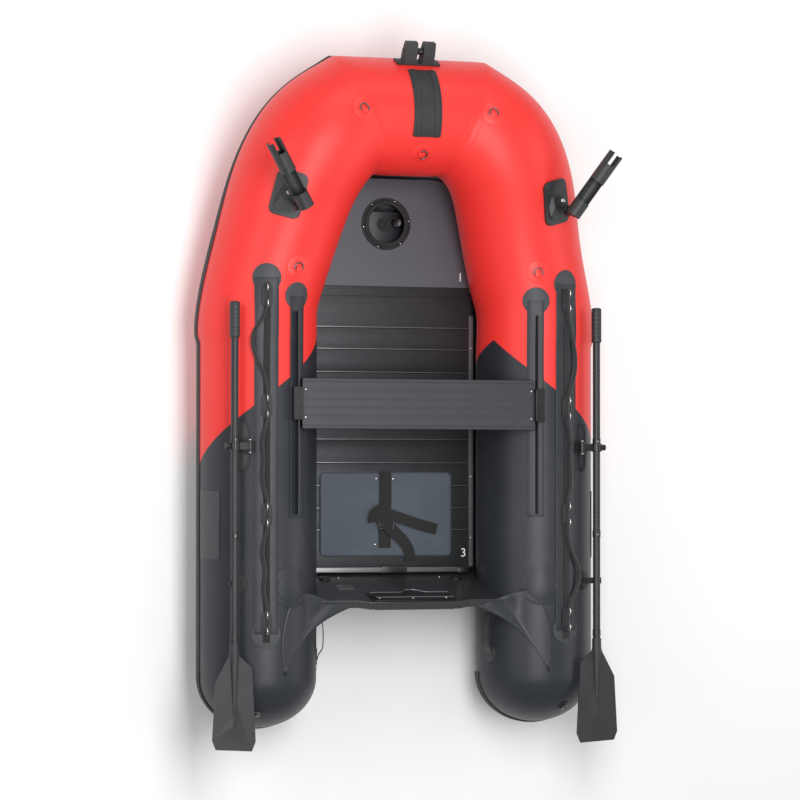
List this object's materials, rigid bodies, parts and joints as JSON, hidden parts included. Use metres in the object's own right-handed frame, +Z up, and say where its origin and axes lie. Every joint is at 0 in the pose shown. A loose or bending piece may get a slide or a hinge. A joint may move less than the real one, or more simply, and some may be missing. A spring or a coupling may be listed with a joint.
{
  "type": "inflatable fishing boat",
  "caption": "Inflatable boat with a mitred bow tube, rigid plank floor, sliding bench, transom, stowed oars, swivelling rod holders, grab ropes and a bow roller.",
  "frame": {"origin": "centre of the hull's box, on the floor it stands on", "axes": "+Y towards the bow, +X to starboard, +Z up"},
  "size_m": [1.576, 2.5628, 0.6741],
  "materials": {
    "pvc_red": "satin coated fabric",
    "pvc_dark": "satin coated fabric",
    "strake_rubber": "moulded rubber",
    "floor_aluminium": "dark anodised, ribbed",
    "seat_aluminium": "dark anodised",
    "black_plastic": "moulded",
    "valve_plastic": "moulded",
    "pad_rubber": "soft foam rubber",
    "webbing": "woven webbing",
    "transom_paint": "dark coated plywood",
    "rope": "braided rope",
    "ring_steel": "dark steel",
    "oar_metal": "black coated tube",
    "oar_plastic": "moulded"
  },
  "bodies": {
    "hull": {"bow_tube": "pvc_red", "hull_bottom": "pvc_dark", "keel_tube": "pvc_dark", "rub_strake_bow": "strake_rubber", "floor_panel_aft": "floor_aluminium", "floor_panel_middle": "floor_aluminium", "floor_panel_bow": "floor_aluminium", "floor_joint_bar": "floor_aluminium", "floor_stringers": "floor_aluminium", "hatch_ring": "black_plastic", "keel_valve": "valve_plastic", "tank_pad": "pad_rubber", "tank_strap": "webbing", "transom_board": "transom_paint", "transom_plates": "black_plastic", "transom_webs": "pvc_dark", "seat_tracks": "pvc_dark", "rope_strips": "pvc_dark", "rope_rings": "ring_steel", "bow_drings": "pvc_red", "side_drings": "pvc_red", "stern_drings": "pvc_dark", "bow_strip": "pvc_dark", "bow_roller_bracket": "strake_rubber", "rod_holder_bases": "strake_rubber", "oarlock_bases": "strake_rubber", "oar_clips": "strake_rubber", "side_patches": "pvc_dark", "stern_handles": "strake_rubber", "side_tube_port": "pvc_dark", "side_tube_starboard": "pvc_dark", "shoulder_tube_port": "pvc_red", "shoulder_tube_starboard": "pvc_red", "stern_cone_port": "pvc_dark", "stern_cone_starboard": "pvc_dark", "rub_strake_port": "strake_rubber", "rub_strake_starboard": "strake_rubber", "stern_strake_port": "strake_rubber", "stern_strake_starboard": "strake_rubber", "grab_rope_port": "rope", "grab_rope_starboard": "rope"},
    "seat": {"seat_bench": "seat_aluminium", "seat_shoes": "black_plastic"},
    "bow_roller": {"bow_roller": "black_plastic"},
    "rod_neck_port": {"rod_holder_neck_port": "black_plastic"},
    "rod_cradle_port": {"rod_holder_cradle_port": "black_plastic"},
    "oar_port": {"oarlock_collar_port": "black_plastic", "oar_loom_port": "oar_metal", "oar_grip_port": "oar_plastic", "oar_blade_port": "oar_plastic"},
    "rod_neck_starboard": {"rod_holder_neck_starboard": "black_plastic"},
    "rod_cradle_starboard": {"rod_holder_cradle_starboard": "black_plastic"},
    "oar_starboard": {"oarlock_collar_starboard": "black_plastic", "oar_loom_starboard": "oar_metal", "oar_grip_starboard": "oar_plastic", "oar_blade_starboard": "oar_plastic"}
  },
  "joints": [
    {"name": "seat_slide", "type": "slide", "parent": "hull", "child": "seat", "axis": [0, 1, 0], "range_m": [-0.34, 0.2]},
    {"name": "bow_roller_spin", "type": "hinge", "parent": "hull", "child": "bow_roller", "pos_m": [0, 1.24445, 0.42753], "axis": [1, 0, 0], "continuous": true},
    {"name": "rod_swivel_port", "type": "hinge", "parent": "hull", "child": "rod_neck_port", "pos_m": [-0.52674, 0.70737, 0.49689], "axis": [-0.3083, 0.0837, 0.9476], "continuous": true},
    {"name": "rod_tilt_port", "type": "hinge", "parent": "rod_neck_port", "child": "rod_cradle_port", "pos_m": [-0.5007, 0.66824, 0.55208], "axis": [0.8348, 0.5505, 0], "range_deg": [-12, 60]},
    {"name": "oarlock_port", "type": "hinge", "parent": "hull", "child": "oar_port", "pos_m": [-0.648, -0.194, 0.43], "axis": [0, 1, 0], "range_deg": [0, 95]},
    {"name": "rod_swivel_starboard", "type": "hinge", "parent": "hull", "child": "rod_neck_starboard", "pos_m": [0.52674, 0.70737, 0.49689], "axis": [0.3083, 0.0837, 0.9476], "continuous": true},
    {"name": "rod_tilt_starboard", "type": "hinge", "parent": "rod_neck_starboard", "child": "rod_cradle_starboard", "pos_m": [0.55678, 0.66764, 0.53389], "axis": [0.8348, -0.5505, 0], "range_deg": [-12, 60]},
    {"name": "oarlock_starboard", "type": "hinge", "parent": "hull", "child": "oar_starboard", "pos_m": [0.648, -0.194, 0.43], "axis": [0, -1, 0], "range_deg": [0, 95]}
  ]
}
